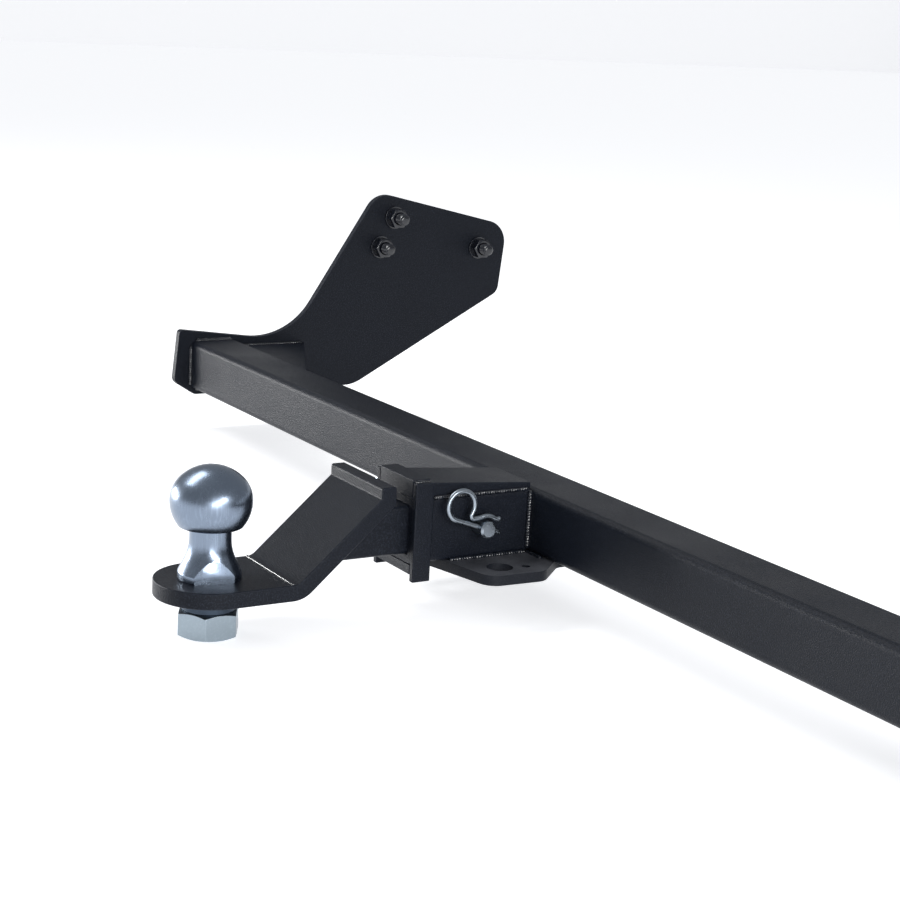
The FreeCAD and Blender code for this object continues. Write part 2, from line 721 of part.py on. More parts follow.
nut = new_body(
    "ball_nut", y="0 - Sizes.ball_setback", z=NUT_SEAT + " - Sizes.ball_nut_height"
)
nut_outline = new_sketch(nut, "ball_nut_outline", "XY_Plane")
hexagon(nut_outline, "0", "0", "Sizes.ball_nut_width", "Sizes.ball_nut_turn")
circle(nut_outline, "0", "0", "Sizes.stud_radius + Sizes.thread_clearance")
pad(nut, nut_outline, "Sizes.ball_nut_height")


# The pin and its clip share one frame: the pin's axis, leaning with the clip's straight leg
def leaning_body(label, x):
    """A body on the pin's axis, turned so that its Y runs along the clip's straight leg."""
    body = new_body(label, x=x, y="0 - Sizes.pin_y")
    body.Placement = FreeCAD.Placement(
        FreeCAD.Vector(0, 0, 0), FreeCAD.Rotation(FreeCAD.Vector(1, 0, 0), -size("clip_lean"))
    )
    body.setExpression("Placement.Rotation.Angle", "0 - Sizes.clip_lean")
    return body


def sweep(body, profile, spine):
    """A round section carried along a line."""
    doc.recompute()
    feature = body.newObject("PartDesign::AdditivePipe", spine.Name + "_swept")
    feature.Profile = profile
    feature.Spine = spine
    doc.recompute()
    return feature


hitch_pin = leaning_body("hitch_pin", "0")
pin_section = new_sketch(hitch_pin, "pin_section", "YZ_Plane", "Sizes.pin_end_x")
circle(pin_section, "0", "0", "Sizes.pin_radius")
pin_spine = new_sketch(hitch_pin, "pin_spine", "XY_Plane")
bend = size("handle_round")
corner_x = -size("handle_x")
bend_centre = FreeCAD.Vector(corner_x + bend, -bend, 0)
bend_circle = Part.Circle(bend_centre, FreeCAD.Vector(0, 0, 1), bend)
pin_spine.addGeometry(Part.LineSegment(
    FreeCAD.Vector(size("pin_end_x"), 0, 0), FreeCAD.Vector(corner_x + bend, 0, 0)), False)
pin_spine.addGeometry(Part.ArcOfCircle(bend_circle, math.pi / 2, math.pi), False)
pin_spine.addGeometry(Part.LineSegment(
    FreeCAD.Vector(corner_x, -bend, 0), FreeCAD.Vector(corner_x, -size("handle_length"), 0)), False)
pin_spine.addConstraint(Sketcher.Constraint("PointOnObject", 0, 1, -1))
pin_spine.addConstraint(Sketcher.Constraint("Horizontal", 0))
pin_spine.addConstraint(Sketcher.Constraint("Tangent", 0, 2, 1, 1))
pin_spine.addConstraint(Sketcher.Constraint("Tangent", 1, 2, 2, 1))
pin_spine.addConstraint(Sketcher.Constraint("Vertical", 2))
bind(pin_spine, Sketcher.Constraint("DistanceX", -1, 1, 0, 1, size("pin_end_x")), "Sizes.pin_end_x")
bind(pin_spine, Sketcher.Constraint("Radius", 1, bend), "Sizes.handle_round")
bind(pin_spine, Sketcher.Constraint("DistanceX", -1, 1, 2, 2, corner_x), "0 - Sizes.handle_x")
bind(
    pin_spine, Sketcher.Constraint("DistanceY", -1, 1, 2, 2, -size("handle_length")),
    "0 - Sizes.handle_length",
)
pin_pipe = sweep(hitch_pin, pin_section, pin_spine)
clip_hole = new_sketch(hitch_pin, "pin_clip_hole", "XZ_Plane")
circle(clip_hole, "Sizes.clip_x", "0", "Sizes.clip_wire_radius + Sizes.clip_hole_clearance")
clip_hole_cut = cut_through(hitch_pin, clip_hole)
pin_face_edges = circle_edges(clip_hole_cut, 0, size("pin_end_x"), size("pin_radius"))
pin_chamfer = hitch_pin.newObject("PartDesign::Chamfer", "pin_end_chamfer")
pin_chamfer.Base = (clip_hole_cut, pin_face_edges)
pin_chamfer.setExpression("Size", "Sizes.pin_chamfer")
doc.recompute()

clip = leaning_body("r_clip", "Sizes.clip_x")
clip_section = new_sketch(clip, "clip_section", "XZ_Plane", "0 - Sizes.clip_tip_reach")
circle(clip_section, "0", "0", "Sizes.clip_wire_radius")
clip_spine = new_sketch(clip, "clip_spine", "YZ_Plane")


def arc_between(start, heading, end):
    """Circle, end angles and end heading of the arc that leaves start along heading and meets end."""
    chord = end - start
    side = FreeCAD.Vector(-heading.y, heading.x, 0)
    offset = chord.dot(side)
    radius = chord.dot(chord) / (2 * offset)
    centre = start + side * radius
    angles = []
    for point in (start, end):
        angles.append(math.atan2(point.y - centre.y, point.x - centre.x))
    out = (end - centre) * (1 / radius)
    return centre, abs(radius), angles, FreeCAD.Vector(-out.y, out.x, 0), radius > 0


def add_tangent_arc(sketch, before, before_end, start, heading, end, x, y):
    """Adds an arc tangent to the element before it, with its far end tied to a position."""
    centre, radius, angles, new_heading, left_turn = arc_between(start, heading, end)
    ring = Part.Circle(centre, FreeCAD.Vector(0, 0, 1), radius)
    first, last = angles if left_turn else reversed(angles)
    index = sketch.addGeometry(Part.ArcOfCircle(ring, first, last), False)
    near, far = (1, 2) if left_turn else (2, 1)
    sketch.addConstraint(Sketcher.Constraint("Tangent", before, before_end, index, near))
    pin_point(sketch, index, far, x, y)
    return index, far, new_heading


tip = FreeCAD.Vector(size("clip_tip_reach"), 0, 0)
ring_foot = FreeCAD.Vector(-size("clip_ring_reach"), 0, 0)
leave = FreeCAD.Vector(-size("clip_leave_reach"), size("clip_leave_rise"), 0)
leg = clip_spine.addGeometry(Part.LineSegment(tip, ring_foot), False)
pin_point(clip_spine, leg, 1, "Sizes.clip_tip_reach", "0")
pin_point(clip_spine, leg, 2, "0 - Sizes.clip_ring_reach", "0")
last_index, last_end, going = add_tangent_arc(
    clip_spine, leg, 2, ring_foot, FreeCAD.Vector(-1, 0, 0), leave,
    "0 - Sizes.clip_leave_reach", "Sizes.clip_leave_rise",
)
spot = leave
WAVES = [
    ("clip_neck_reach", "clip_neck_rise", -1),
    ("clip_bump_start_reach", "clip_bump_start_rise", -1),
    ("clip_bump_end_reach", "clip_bump_end_rise", 1),
    ("clip_free_end_reach", "clip_free_end_rise", 1),
]
for reach_name, rise_name, direction in WAVES:
    target = FreeCAD.Vector(direction * size(reach_name), size(rise_name), 0)
    last_index, last_end, going = add_tangent_arc(
        clip_spine, last_index, last_end, spot, going, target,
        "%d * Sizes.%s" % (direction, reach_name), "Sizes." + rise_name,
    )
    spot = target
sweep(clip, clip_section, clip_spine)

doc.recompute()
for item in doc.Objects:
    if "Invalid" in item.State or "Error" in item.State:
        raise RuntimeError("bad state: " + item.Name)
os.makedirs("parts", exist_ok=True)
for body in pieces:
    shape = body.Shape
    if shape.isNull() or not shape.isValid() or not shape.Solids:
        raise RuntimeError("bad shape: " + body.Label)
    shape.exportStep("parts/%s.step" % body.Label)
    box = shape.BoundBox
    print(body.Label, len(shape.Solids), round(shape.Volume / 1000, 1),
          [round(v, 1) for v in (box.XMin, box.XMax, box.YMin, box.YMax, box.ZMin, box.ZMax)])
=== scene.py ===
import math

import bmesh
import bpy
from bpy.props import FloatProperty, FloatVectorProperty, IntProperty, PointerProperty
from mathutils import Matrix, Vector


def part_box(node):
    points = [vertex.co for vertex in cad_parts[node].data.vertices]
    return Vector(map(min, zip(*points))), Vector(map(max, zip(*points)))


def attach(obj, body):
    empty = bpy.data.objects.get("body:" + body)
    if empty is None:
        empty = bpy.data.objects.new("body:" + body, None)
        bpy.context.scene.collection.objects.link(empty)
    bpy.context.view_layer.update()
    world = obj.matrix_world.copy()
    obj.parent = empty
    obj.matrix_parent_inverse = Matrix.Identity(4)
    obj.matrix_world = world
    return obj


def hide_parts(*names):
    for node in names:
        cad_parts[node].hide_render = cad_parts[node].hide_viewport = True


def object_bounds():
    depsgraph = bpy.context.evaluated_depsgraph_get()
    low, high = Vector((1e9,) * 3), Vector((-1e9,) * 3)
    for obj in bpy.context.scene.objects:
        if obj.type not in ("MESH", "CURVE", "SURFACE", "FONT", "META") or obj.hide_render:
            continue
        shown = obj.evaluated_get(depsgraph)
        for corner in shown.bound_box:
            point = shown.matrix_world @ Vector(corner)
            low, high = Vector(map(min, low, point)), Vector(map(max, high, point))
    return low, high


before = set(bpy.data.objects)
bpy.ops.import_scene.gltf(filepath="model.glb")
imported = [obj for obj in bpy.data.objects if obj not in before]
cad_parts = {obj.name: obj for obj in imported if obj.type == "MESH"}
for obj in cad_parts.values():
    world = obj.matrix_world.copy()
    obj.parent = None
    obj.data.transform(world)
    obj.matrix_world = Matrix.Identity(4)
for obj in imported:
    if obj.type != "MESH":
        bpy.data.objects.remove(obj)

bl_info = {
    "name": "Tow bar",
    "version": (1, 0, 0),
    "blender": (4, 5, 0),
    "location": "3D View > Sidebar > Tow bar",
    "description": "Dresses the tow bar with rounded plates, weld beads, threads and finishes",
    "category": "Object",
}

CAD_BOX = [list(corner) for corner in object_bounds()]
MM = 0.001
LEFT_RIGHT = (("left", -1), ("right", 1))
BOLT_PLACES = ((485.5 * MM, 118.0 * MM), (469.5 * MM, 86.5 * MM), (593.0 * MM, 83.5 * MM))
CLIP_LEAN = math.radians(18.5)
CLIP_CENTRE = Vector((34 * MM, 207 * MM, -31.5 * MM))


# Sizes and colours that a user would change

class TowBarSizes(bpy.types.PropertyGroup):
    edge_round: FloatProperty(
        name="Edge rounding", description="Rounding of the plates' cut edges",
        default=0.9 * MM, min=0.1 * MM, max=2 * MM, unit="LENGTH")
    bead_radius: FloatProperty(
        name="Weld bead radius", description="Half the width of a weld bead",
        default=2.4 * MM, min=1 * MM, max=4 * MM, unit="LENGTH")
    bead_ripple: FloatProperty(
        name="Weld ripple", description="Distance between two ripples of a weld bead",
        default=2.2 * MM, min=1 * MM, max=5 * MM, unit="LENGTH")
    thread_pitch: FloatProperty(
        name="Bolt thread pitch", description="Distance between two thread crests",
        default=1.75 * MM, min=0.5 * MM, max=3 * MM, unit="LENGTH")
    turned_steps: IntProperty(
        name="Steps of turned parts", description="Faces round a turned part",
        default=96, min=24, max=200)


class TowBarColours(bpy.types.PropertyGroup):
    paint: FloatVectorProperty(
        name="Paint", description="Black powder paint", subtype="COLOR",
        default=(0.0050, 0.0068, 0.0115), min=0, max=1)
    paint_high: FloatVectorProperty(
        name="Paint, worn tone", description="Paint where it is thin or rubbed", subtype="COLOR",
        default=(0.020, 0.0245, 0.036), min=0, max=1)
    # Lighter tone of the chain plate's upward faces: a dusty tone plus a painted sheen for the light those
    # faces catch.
    dust_and_sheen: FloatVectorProperty(
        name="Dust and sheen", description="Dust on the chain plate's upper face", subtype="COLOR",
        default=(0.115, 0.12, 0.135), min=0, max=1)
    ball: FloatVectorProperty(
        name="Ball", description="Polished steel of the ball", subtype="COLOR",
        default=(0.20, 0.245, 0.315), min=0, max=1)
    nut: FloatVectorProperty(
        name="Nut", description="Zinc of the ball's nut", subtype="COLOR",
        default=(0.29, 0.345, 0.39), min=0, max=1)
    washer: FloatVectorProperty(
        name="Washers", description="Dark zinc of the washers", subtype="COLOR",
        default=(0.045, 0.060, 0.082), min=0, max=1)
    zinc: FloatVectorProperty(
        name="Pin and clip", description="Bright zinc of the pin and the clip", subtype="COLOR",
        default=(0.30, 0.34, 0.385), min=0, max=1)
    floor: FloatVectorProperty(
        name="Floor", description="Pale floor", subtype="COLOR",
        default=(0.93, 0.93, 0.94), min=0, max=1)


def sizes():
    return bpy.context.scene.tow_bar_sizes


def colours():
    return bpy.context.scene.tow_bar_colours


# Finishes

def add_node(tree, kind, inputs=None, **settings):
    node = tree.nodes.new(kind)
    for key, value in settings.items():
        setattr(node, key, value)
    for key, value in (inputs or {}).items():
        if isinstance(value, bpy.types.NodeSocket):
            tree.links.new(value, node.inputs[key])
        else:
            node.inputs[key].default_value = value
    return node


def grain_group():
    """Fine grain and broad cloudy tone, in the piece's own coordinates."""
    name = "Grain and tone"
    if name in bpy.data.node_groups:
        return bpy.data.node_groups[name]
    tree = bpy.data.node_groups.new(name, "ShaderNodeTree")
    face = tree.interface
    for label, default in (("Grain size", 600.0), ("Cloud size", 25.0), ("Stretch", 1.0)):
        socket = face.new_socket(name=label, in_out="INPUT", socket_type="NodeSocketFloat")
        socket.default_value = default
    for label in ("Grain", "Cloud"):
        face.new_socket(name=label, in_out="OUTPUT", socket_type="NodeSocketFloat")
    come = tree.nodes.new("NodeGroupInput")
    go = tree.nodes.new("NodeGroupOutput")
    where = add_node(tree, "ShaderNodeTexCoord")
    stretch = add_node(tree, "ShaderNodeCombineXYZ", {"X": 1.0, "Y": 1.0, "Z": come.outputs["Stretch"]})
    pulled = add_node(tree, "ShaderNodeVectorMath", {0: where.outputs["Object"], 1: stretch.outputs[0]},
                      operation="MULTIPLY")
    grain = add_node(tree, "ShaderNodeTexNoise",
                     {"Vector": pulled.outputs[0], "Scale": come.outputs["Grain size"],
                      "Detail": 2.0, "Roughness": 0.6})
    cloud = add_node(tree, "ShaderNodeTexNoise",
                     {"Vector": where.outputs["Object"], "Scale": come.outputs["Cloud size"],
                      "Detail": 4.0, "Roughness": 0.55})
    tree.links.new(grain.outputs["Fac"], go.inputs["Grain"])
    tree.links.new(cloud.outputs["Fac"], go.inputs["Cloud"])
    return tree


def edge_group():
    """A mask that is 1 on edges and 0 on flat faces."""
    name = "Edge mask"
    if name in bpy.data.node_groups:
        return bpy.data.node_groups[name]
    tree = bpy.data.node_groups.new(name, "ShaderNodeTree")
    face = tree.interface
    reach = face.new_socket(name="Reach", in_out="INPUT", socket_type="NodeSocketFloat")
    reach.default_value = 1.5 * MM
    face.new_socket(name="Mask", in_out="OUTPUT", socket_type="NodeSocketFloat")
    come = tree.nodes.new("NodeGroupInput")
    go = tree.nodes.new("NodeGroupOutput")
    soft = add_node(tree, "ShaderNodeBevel", {"Radius": come.outputs["Reach"]}, samples=4)
    true = add_node(tree, "ShaderNodeNewGeometry")
    facing = add_node(tree, "ShaderNodeVectorMath", {0: soft.outputs[0], 1: true.outputs["True Normal"]},
                      operation="DOT_PRODUCT")
    mask = add_node(tree, "ShaderNodeMapRange", {"Value": facing.outputs["Value"], "From Min": 0.995,
                                                "From Max": 0.85, "To Min": 0.0, "To Max": 1.0})
    tree.links.new(mask.outputs["Result"], go.inputs["Mask"])
    return tree


def new_finish(name, plain, rubbed, grain, cloud, rough, bump, relief, metallic=0.0, stretch=1.0,
               edge=0.0, shine=0.5, dust_and_sheen=0.0, speckle=0.5):
    """A material whose colour, roughness and bump follow the grain, the cloud and the edges.

    Plain and rubbed are its two colours, grain and cloud the fineness of both patterns, rough its range
    of roughness, bump the strength and relief the depth of the grain, stretch the grain's pull along Z,
    edge how far edges are rubbed, shine the specular level, dust_and_sheen how much lighter upward faces
    are painted (a dusty tone plus a painted sheen for the light they catch) and speckle the grain's share
    in the colour."""
    material = bpy.data.materials.new(name)
    material.use_nodes = True
    tree = material.node_tree
    shader = tree.nodes["Principled BSDF"]
    shader.inputs["Metallic"].default_value = metallic
    shader.inputs["Specular IOR Level"].default_value = shine
    tone = add_node(tree, "ShaderNodeGroup", node_tree=grain_group())
    tone.inputs["Grain size"].default_value = grain
    tone.inputs["Cloud size"].default_value = cloud
    tone.inputs["Stretch"].default_value = stretch
    spread = add_node(tree, "ShaderNodeMapRange", {"Value": tone.outputs["Cloud"], "From Min": 0.35,
                                                  "From Max": 0.7})
    fine = add_node(tree, "ShaderNodeMapRange", {"Value": tone.outputs["Grain"], "From Min": 0.5,
                                                "From Max": 0.75, "To Max": speckle})
    mixed = add_node(tree, "ShaderNodeMath", {0: spread.outputs["Result"], 1: fine.outputs["Result"],
                                              2: fine.outputs["Result"]}, operation="MULTIPLY_ADD")
    factor = mixed.outputs[0]
    if edge:
        mask = add_node(tree, "ShaderNodeGroup", node_tree=edge_group())
        strength = add_node(tree, "ShaderNodeMath", {0: mask.outputs["Mask"], 1: edge},
                            operation="MULTIPLY")
        larger = add_node(tree, "ShaderNodeMath", {0: factor, 1: strength.outputs[0]},
                          operation="MAXIMUM")
        factor = larger.outputs[0]
    # Upward faces are painted lighter: a dusty tone plus a painted sheen that stands in for the light they
    # catch.
    if dust_and_sheen:
        facing = add_node(tree, "ShaderNodeNewGeometry")
        upward = add_node(tree, "ShaderNodeSeparateXYZ", {0: facing.outputs["Normal"]})
        upward_dust_and_sheen = add_node(tree, "ShaderNodeMapRange", {"Value": upward.outputs["Z"], "From Min": 0.7,
                                                     "From Max": 0.95, "To Max": dust_and_sheen})
        patchy_dust_and_sheen = add_node(tree, "ShaderNodeMath", {0: upward_dust_and_sheen.outputs["Result"], 1: tone.outputs["Cloud"]},
                          operation="MULTIPLY")
        larger = add_node(tree, "ShaderNodeMath", {0: factor, 1: patchy_dust_and_sheen.outputs[0]}, operation="ADD")
        factor = larger.outputs[0]
    colour = add_node(tree, "ShaderNodeMix", {"Factor": factor}, data_type="RGBA", clamp_factor=True)
    colour.inputs[6].default_value = (*plain, 1)
    colour.inputs[7].default_value = (*rubbed, 1)
    tree.links.new(colour.outputs[2], shader.inputs["Base Color"])
    roughness = add_node(tree, "ShaderNodeMapRange", {"Value": tone.outputs["Cloud"], "From Min": 0.3,
                                                     "From Max": 0.75, "To Min": rough[0],
                                                     "To Max": rough[1]})
    tree.links.new(roughness.outputs["Result"], shader.inputs["Roughness"])
    bumps = add_node(tree, "ShaderNodeBump", {"Height": tone.outputs["Grain"], "Strength": bump,
                                             "Distance": relief})
    tree.links.new(bumps.outputs["Normal"], shader.inputs["Normal"])
    return material


def lighter(colour, share):
    return tuple(min(1.0, share * value) for value in colour)


def finish(name):
    """The material of that name, made once."""
    if name in bpy.data.materials:
        return bpy.data.materials[name]
    tone = colours()
    paint, worn = tone.paint, tone.paint_high
    made = {
        "Black paint": dict(
            plain=paint, rubbed=worn, grain=1000.0, cloud=14.0, rough=(0.34, 0.46), bump=0.9,
            relief=0.45 * MM, edge=0.8, shine=0.14, speckle=0.9),
        # The chain plate's paint is lighter on its upward faces: a dusty tone plus a painted sheen.
        "Dusty black with painted sheen": dict(
            plain=paint, rubbed=tone.dust_and_sheen, grain=900.0, cloud=40.0, rough=(0.45, 0.6), bump=0.5,
            relief=0.4 * MM, edge=0.05, shine=0.2, dust_and_sheen=1.2, speckle=0.05),
        "Bolt black": dict(
            plain=paint, rubbed=worn, grain=900.0, cloud=60.0, rough=(0.14, 0.24), bump=0.15,
            relief=0.12 * MM, edge=0.6, shine=0.7),
        "Weld paint": dict(
            plain=paint, rubbed=worn, grain=700.0, cloud=90.0, rough=(0.1, 0.26), bump=0.5,
            relief=0.3 * MM, shine=0.8),
        "Polished ball": dict(
            plain=tone.ball, rubbed=lighter(tone.ball, 1.35), grain=900.0, cloud=45.0,
            rough=(0.2, 0.34), bump=0.35, relief=0.12 * MM, metallic=1.0, stretch=0.06),
        "Nut zinc": dict(
            plain=tone.nut, rubbed=lighter(tone.nut, 1.15), grain=500.0, cloud=60.0,
            rough=(0.3, 0.42), bump=0.12, relief=0.1 * MM, metallic=1.0, edge=0.6),
        "Dark zinc": dict(
            plain=tone.washer, rubbed=lighter(tone.washer, 1.3), grain=500.0, cloud=60.0,
            rough=(0.35, 0.5), bump=0.12, relief=0.1 * MM, metallic=1.0, edge=0.6),
        "Bright zinc": dict(
            plain=tone.zinc, rubbed=lighter(tone.zinc, 1.2), grain=700.0, cloud=80.0,
            rough=(0.24, 0.38), bump=0.08, relief=0.08 * MM, metallic=1.0),
    }
    return new_finish(name, **made[name])


# Shaping

def settle(bm, name, body, material, nodes=(), even=True):
    """Turns a bmesh into a finished piece that rides on a body."""
    bmesh.ops.recalc_face_normals(bm, faces=bm.faces)
    mesh = bpy.data.meshes.new(name)
    bm.to_mesh(mesh)
    bm.free()
    for face in mesh.polygons:
        face.use_smooth = True
    mesh.set_sharp_from_angle(angle=math.radians(40))
    piece = bpy.data.objects.new(name, mesh)
    bpy.context.scene.collection.objects.link(piece)
    mesh.materials.append(finish(material))
    if even:
        normals = piece.modifiers.new("Even normals", "WEIGHTED_NORMAL")
        normals.keep_sharp = True
    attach(piece, body)
    if nodes:
        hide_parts(*nodes)
    return piece


def merged(node):
    """A merged copy of a CAD node's mesh, with its flat faces made whole."""
    bm = bmesh.new()
    bm.from_mesh(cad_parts[node].data)
    bmesh.ops.remove_doubles(bm, verts=bm.verts, dist=0.002 * MM)
    bmesh.ops.dissolve_limit(bm, angle_limit=math.radians(0.3), verts=bm.verts, edges=bm.edges)
    return bm


def round_sharp(bm, width, limit=35.0, segments=3):
    """Rounds the edges sharper than the limit."""
    sharp = [edge for edge in bm.edges
             if len(edge.link_faces) == 2 and edge.calc_face_angle(0) > math.radians(limit)]
    bmesh.ops.bevel(bm, geom=sharp, offset=width, offset_type="OFFSET", segments=segments,
                    profile=0.5, affect="EDGES", clamp_overlap=True, material=-1)


def dress_plate(node, body="bar", material="Black paint", width=None):
    bm = merged(node)
    round_sharp(bm, width or sizes().edge_round)
    return settle(bm, node + "_dressed", body, material, (node,))


def bead(bm, start, end, radius=None, seed=0):
    """Adds a rippled weld bead between two points."""
    radius = radius or sizes().bead_radius
    start, end = Vector(start), Vector(end)
    way = end - start
    steps = max(6, round(way.length / sizes().bead_ripple * 4))
    turn = way.to_track_quat("Z", "Y").to_matrix().to_4x4()
    ring = bmesh.ops.create_circle(bm, cap_ends=True, radius=radius * 0.5, segments=10,
                                   matrix=Matrix.Translation(start) @ turn)["verts"]
    edges = list({edge for vert in ring for edge in vert.link_edges if all(v in ring for v in edge.verts)})
    width = 0.5
    for step in range(1, steps + 1):
        wave = abs(math.sin(math.pi * step / 4 + seed))
        wander = 1 + 0.10 * math.sin(step * 0.37 + seed * 1.7)
        taper = min(1.0, 0.55 + 0.18 * min(step, steps - step))
        wide = taper * wander * (0.84 + 0.22 * wave)
        new = bmesh.ops.extrude_edge_only(bm, edges=edges)["geom"]
        ring = [item for item in new if isinstance(item, bmesh.types.BMVert)]
        edges = [item for item in new if isinstance(item, bmesh.types.BMEdge)]
        centre = start + way * (step - 1) / steps
        grow = wide / width
        bmesh.ops.scale(bm, verts=ring, vec=(grow, grow, grow), space=Matrix.Translation(-centre))
        bmesh.ops.translate(bm, verts=ring, vec=way / steps)
        width = wide
    bmesh.ops.holes_fill(bm, edges=edges, sides=0)


def hexagon_reach(angle, width):
    """Distance from the middle to the outline of a hexagon of that width across its flats."""
    return width / 2 / math.cos((angle % (math.pi / 3)) - math.pi / 6)


def turned_hexagon(points, width, steps, closed):
    """A turned nut or bolt from (radius, height) points. A point whose radius is "low", "high" or "plain"
    follows the hexagon, its height moved where the lower or upper corners are turned off."""
    bm = bmesh.new()
    kinds = {height: radius for radius, height in points if isinstance(radius, str)}
    verts = [bm.verts.new((width if isinstance(radius, str) else radius, 0, height))
             for radius, height in points]
    edges = [bm.edges.new(pair) for pair in zip(verts, verts[1:])]
    if closed:
        edges.append(bm.edges.new((verts[-1], verts[0])))
    bmesh.ops.spin(bm, geom=verts + edges, cent=(0, 0, 0), axis=(0, 0, 1), dvec=(0, 0, 0),
                   angle=2 * math.pi, steps=steps, use_merge=True, use_duplicate=False)
    bmesh.ops.remove_doubles(bm, verts=bm.verts, dist=0.001 * MM)
    slope, turned_off, signs = 0.45, 0.48 * width, {"low": 1, "high": -1, "plain": 0}
    for vert in bm.verts:
        if math.hypot(vert.co.x, vert.co.y) < 0.9 * width:
            continue
        kind = kinds[min(kinds, key=lambda height: abs(height - vert.co.z))]
        angle = math.atan2(vert.co.y, vert.co.x)
        reach = hexagon_reach(angle, width)
        lift = (reach - turned_off) * slope * signs[kind]
        vert.co = Vector((reach * math.cos(angle), reach * math.sin(angle), vert.co.z + lift))
    return bm


def cut_thread(bm, radius, low, high, pitch, depth):
    """Presses a helical groove into the rings of a turned shank between two heights."""
    for vert in bm.verts:
        if low < vert.co.z < high and abs(math.hypot(vert.co.x, vert.co.y) - radius) < 0.05 * MM:
            turn = math.atan2(vert.co.y, vert.co.x) / (2 * math.pi)
            phase = (vert.co.z / pitch - turn) % 1.0
            fade = min(1.0, (vert.co.z - low) / pitch, (high - vert.co.z) / pitch)
            shrink = 1 - fade * depth / radius * (1 - abs(2 * phase - 1))
            vert.co.x *= shrink
            vert.co.y *= shrink


def wire(bm, path, radius, sides=20):
    """A round wire along points that lie in a plane facing +X, with softened ends."""
    places = []
    for index, point in enumerate(path):
        before = path[max(index - 1, 0)]
        after = path[min(index + 1, len(path) - 1)]
        along = after - before
        places.append(Matrix.Translation(point) @ Matrix.Rotation(math.atan2(-along.y, along.z), 4, "X"))
    thick = [0.55, 0.9] + [1.0] * (len(path) - 4) + [0.9, 0.55]
    ring = bmesh.ops.create_circle(bm, cap_ends=True, radius=radius, segments=sides)["verts"]
    edges = list({edge for vert in ring for edge in vert.link_edges if all(v in ring for v in edge.verts)})
    last = Matrix.Identity(4)
    for index, place in enumerate(places):
        here = place @ Matrix.Diagonal((thick[index], thick[index], 1, 1))
        if index:
            new = bmesh.ops.extrude_edge_only(bm, edges=edges)["geom"]
            ring = [item for item in new if isinstance(item, bmesh.types.BMVert)]
            edges = [item for item in new if isinstance(item, bmesh.types.BMEdge)]
        bmesh.ops.transform(bm, matrix=here @ last.inverted(), verts=ring)
        last = here
    bmesh.ops.holes_fill(bm, edges=edges, sides=0)


def tangent_arc(start, heading, end, count):
    """Points of the arc that leaves a point along a heading and meets another, and its last heading."""
    chord = end - start
    side = Vector((-heading.y, heading.x))
    radius = chord.dot(chord) / (2 * chord.dot(side))
    centre = start + side * radius
    first, last = start - centre, end - centre
    begin = math.atan2(first.y, first.x)
    turn = (math.atan2(last.y, last.x) - begin) % (2 * math.pi)
    if radius < 0:
        turn -= 2 * math.pi
    points = []
    for index in range(1, count + 1):
        angle = begin + turn * index / count
        points.append(centre + abs(radius) * Vector((math.cos(angle), math.sin(angle))))
    angle = math.atan2(heading.y, heading.x) + turn
    return points, Vector((math.cos(angle), math.sin(angle)))


def turned_profile(points, steps):
    """A closed shape turned about Z from (radius, height) points that start and end on the axis."""
    bm = bmesh.new()
    verts = [bm.verts.new((radius, 0, height)) for radius, height in points]
    edges = [bm.edges.new(pair) for pair in zip(verts, verts[1:])]
    bmesh.ops.spin(bm, geom=verts + edges, cent=(0, 0, 0), axis=(0, 0, 1), dvec=(0, 0, 0),
                   angle=2 * math.pi, steps=steps, use_merge=True, use_duplicate=False)
    bmesh.ops.remove_doubles(bm, verts=bm.verts, dist=0.001 * MM)
    return bm


def arc_points(centre, radius, start, end, count):
    """(radius, height) points along an arc, its angles in degrees from the outward direction."""
    points = []
    for index in range(count + 1):
        angle = math.radians(start + (end - start) * index / count)
        points.append((centre[0] + radius * math.cos(angle), centre[1] + radius * math.sin(angle)))
    return points


# Pieces

class BarOperator:
    bl_options = {"REGISTER", "UNDO"}

    def execute(self, context):
        self.build()
        return {"FINISHED"}


class TOWBAR_OT_plates(BarOperator, bpy.types.Operator):
    """Rounds the cut edges of the tubes and plates"""
    bl_idname = "towbar.plates"
    bl_label = "Tubes and plates"

    def build(self):
        names = ["cross_beam", "receiver_tube", "top_plate", "chain_plate", "tongue_plate", "shank_bar",
                 "collar_top_bar", "collar_bottom_bar", "collar_side_bar_left", "collar_side_bar_right"]
        for side, sign in LEFT_RIGHT:
            names += ["arm_plate_" + side, "gusset_" + side]
        for name in names:
            dress_plate(name, "bar", "Dusty black with painted sheen" if name == "chain_plate" else "Black paint")


